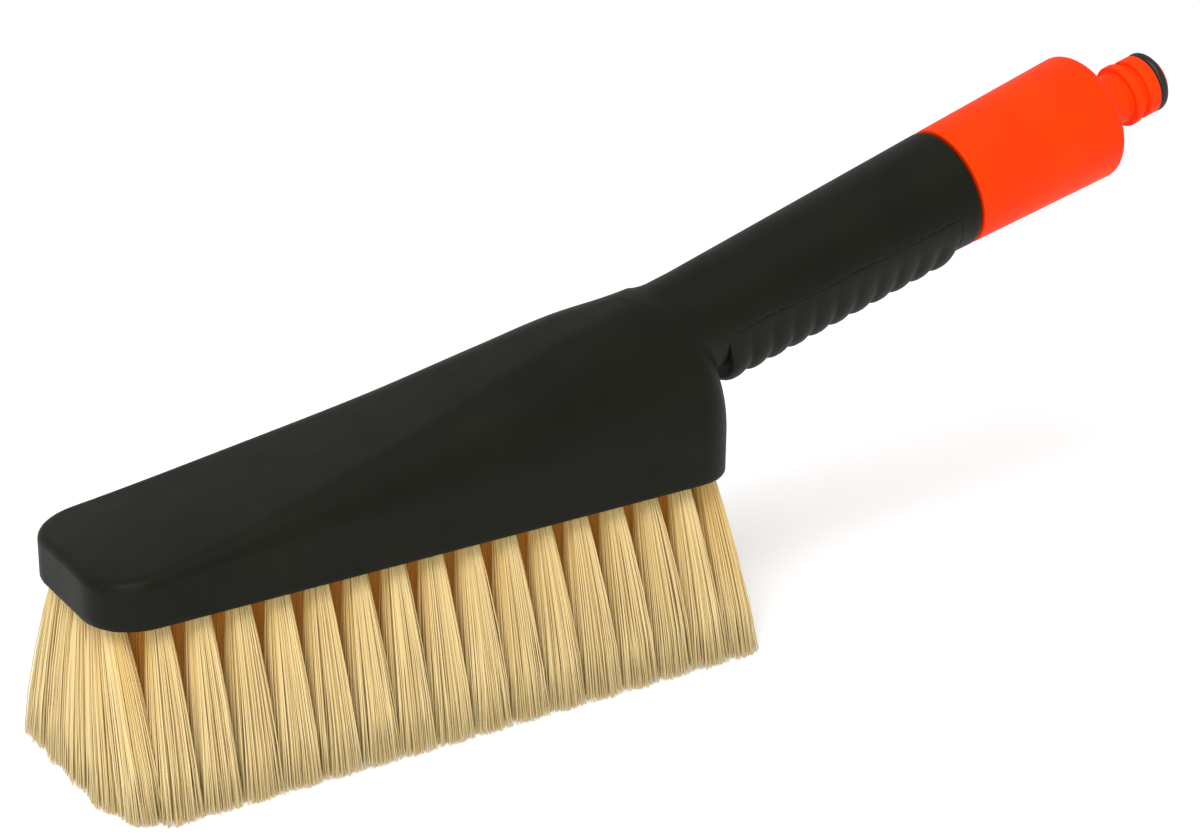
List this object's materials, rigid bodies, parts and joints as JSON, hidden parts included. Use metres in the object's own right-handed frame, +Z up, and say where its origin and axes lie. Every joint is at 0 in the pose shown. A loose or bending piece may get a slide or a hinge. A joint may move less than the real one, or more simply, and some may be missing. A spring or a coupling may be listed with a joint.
{
  "type": "wheel brush",
  "caption": "Hand wash brush with a long block of tufted bristles, a raised ribbed handle, and a twist flow regulator ending in a hose nipple.",
  "frame": {"origin": "middle of the bristle tip face, on which the brush stands", "axes": "+Z up, from the tips to the head; +X from the nose towards the hose end; +Y to the left, across the brush, seen from the hose end looking at the nose"},
  "size_m": [0.3192, 0.0612, 0.1293],
  "materials": {
    "black_plastic": "matte, fine moulded grain",
    "grip_rubber": "matte soft-touch",
    "orange_plastic": "satin",
    "bristle_fibre": "blond filaments with a soft sheen",
    "valve_plastic": "matte",
    "seal_rubber": "satin"
  },
  "bodies": {
    "brush": {"brush_body": "black_plastic", "finger_grip": "grip_rubber", "bristle_plate": "black_plastic", "plate_seal": "seal_rubber", "valve_cartridge": "valve_plastic", "snap_ring": "valve_plastic", "cartridge_o_ring": "seal_rubber", "tuft_row_01": "bristle_fibre", "tuft_row_02": "bristle_fibre", "tuft_row_03": "bristle_fibre", "tuft_row_04": "bristle_fibre", "tuft_row_05": "bristle_fibre", "tuft_row_06": "bristle_fibre", "tuft_row_07": "bristle_fibre", "tuft_row_08": "bristle_fibre", "tuft_row_09": "bristle_fibre", "tuft_row_10": "bristle_fibre", "tuft_row_11": "bristle_fibre", "tuft_row_12": "bristle_fibre", "tuft_row_13": "bristle_fibre", "tuft_row_14": "bristle_fibre", "tuft_row_15": "bristle_fibre", "tuft_row_16": "bristle_fibre", "tuft_row_17": "bristle_fibre"},
    "regulator": {"flow_regulator": "orange_plastic", "valve_disc": "valve_plastic", "stem_o_ring": "seal_rubber", "nipple_o_ring": "seal_rubber"}
  },
  "joints": [
    {"name": "regulator_turn", "type": "hinge", "parent": "brush", "child": "regulator", "pos_m": [0.16246, 0, 0.10099], "axis": [0.9662, 0, 0.258], "range_deg": [0, 90]}
  ]
}
